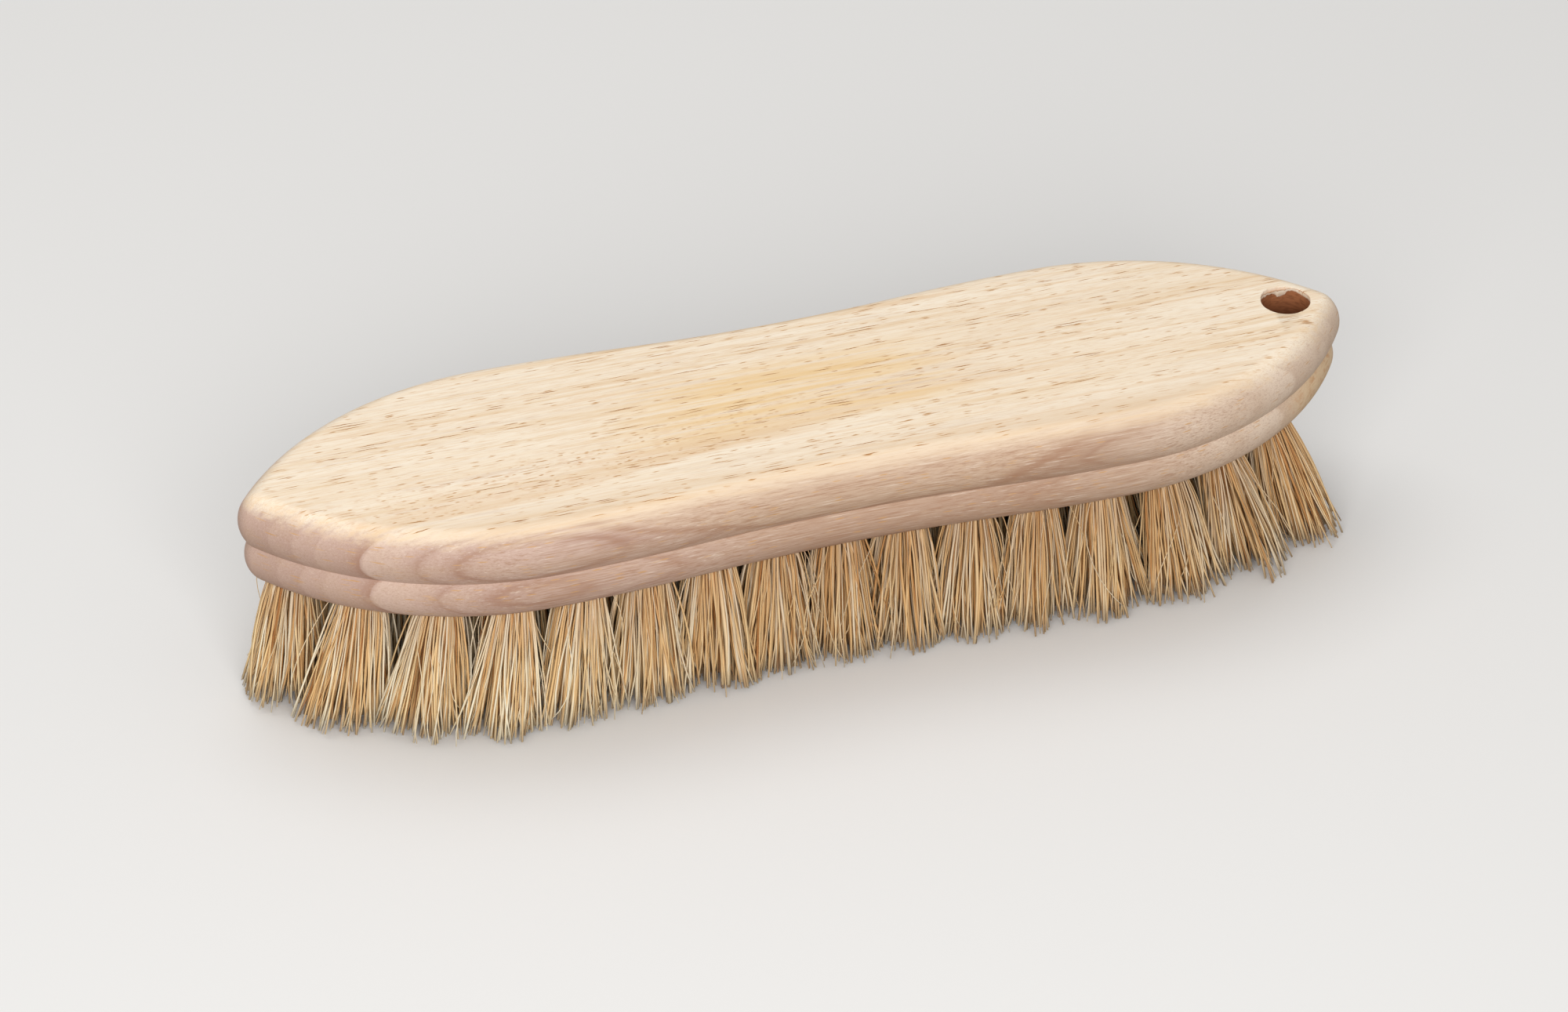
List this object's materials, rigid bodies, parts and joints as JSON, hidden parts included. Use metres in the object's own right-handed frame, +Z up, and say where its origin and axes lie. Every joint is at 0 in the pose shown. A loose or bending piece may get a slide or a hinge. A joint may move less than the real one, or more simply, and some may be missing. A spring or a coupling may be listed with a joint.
{
  "type": "scrubbing brush",
  "caption": "Hand scrubbing brush: a pointed, waisted wooden block with a two-bead edge and a hanging hole, set with rows of plant-fibre tufts.",
  "frame": {"origin": "on the plane of the trimmed bristle tips, under the middle of the block", "axes": "+X along the block towards the hanging hole, +Z up from the bristle tips to the block's top face"},
  "size_m": [0.23, 0.0634, 0.0475],
  "materials": {
    "bare_hardwood": "bare sanded rubberwood, open pored, no varnish",
    "plant_fibre": "dry straw-coloured plant fibre, satin",
    "staple_wire": "plain drawn steel wire"
  },
  "bodies": {
    "root": {"block": "bare_hardwood", "outer_tuft_01": "plant_fibre", "outer_tuft_02": "plant_fibre", "outer_tuft_03": "plant_fibre", "outer_tuft_04": "plant_fibre", "outer_tuft_05": "plant_fibre", "outer_tuft_06": "plant_fibre", "outer_tuft_07": "plant_fibre", "outer_tuft_08": "plant_fibre", "outer_tuft_09": "plant_fibre", "outer_tuft_10": "plant_fibre", "outer_tuft_11": "plant_fibre", "outer_tuft_12": "plant_fibre", "outer_tuft_13": "plant_fibre", "outer_tuft_14": "plant_fibre", "outer_tuft_15": "plant_fibre", "outer_tuft_16": "plant_fibre", "outer_tuft_17": "plant_fibre", "outer_tuft_18": "plant_fibre", "outer_tuft_19": "plant_fibre", "outer_tuft_20": "plant_fibre", "outer_tuft_21": "plant_fibre", "outer_tuft_22": "plant_fibre", "outer_tuft_23": "plant_fibre", "outer_tuft_24": "plant_fibre", "outer_tuft_25": "plant_fibre", "outer_tuft_26": "plant_fibre", "outer_tuft_27": "plant_fibre", "outer_tuft_28": "plant_fibre", "outer_tuft_29": "plant_fibre", "outer_tuft_30": "plant_fibre", "outer_tuft_31": "plant_fibre", "inner_tuft_01": "plant_fibre", "inner_tuft_02": "plant_fibre", "inner_tuft_03": "plant_fibre", "inner_tuft_04": "plant_fibre", "inner_tuft_05": "plant_fibre", "inner_tuft_06": "plant_fibre", "inner_tuft_07": "plant_fibre", "inner_tuft_08": "plant_fibre", "inner_tuft_09": "plant_fibre", "inner_tuft_10": "plant_fibre", "inner_tuft_11": "plant_fibre", "inner_tuft_12": "plant_fibre", "inner_tuft_13": "plant_fibre", "inner_tuft_14": "plant_fibre", "inner_tuft_15": "plant_fibre", "inner_tuft_16": "plant_fibre", "inner_tuft_17": "plant_fibre", "inner_tuft_18": "plant_fibre", "inner_tuft_19": "plant_fibre", "inner_tuft_20": "plant_fibre", "inner_tuft_21": "plant_fibre", "inner_tuft_22": "plant_fibre", "inner_tuft_23": "plant_fibre", "inner_tuft_24": "plant_fibre", "inner_tuft_25": "plant_fibre", "inner_tuft_26": "plant_fibre", "staples": "staple_wire"}
  },
  "joints": []
}
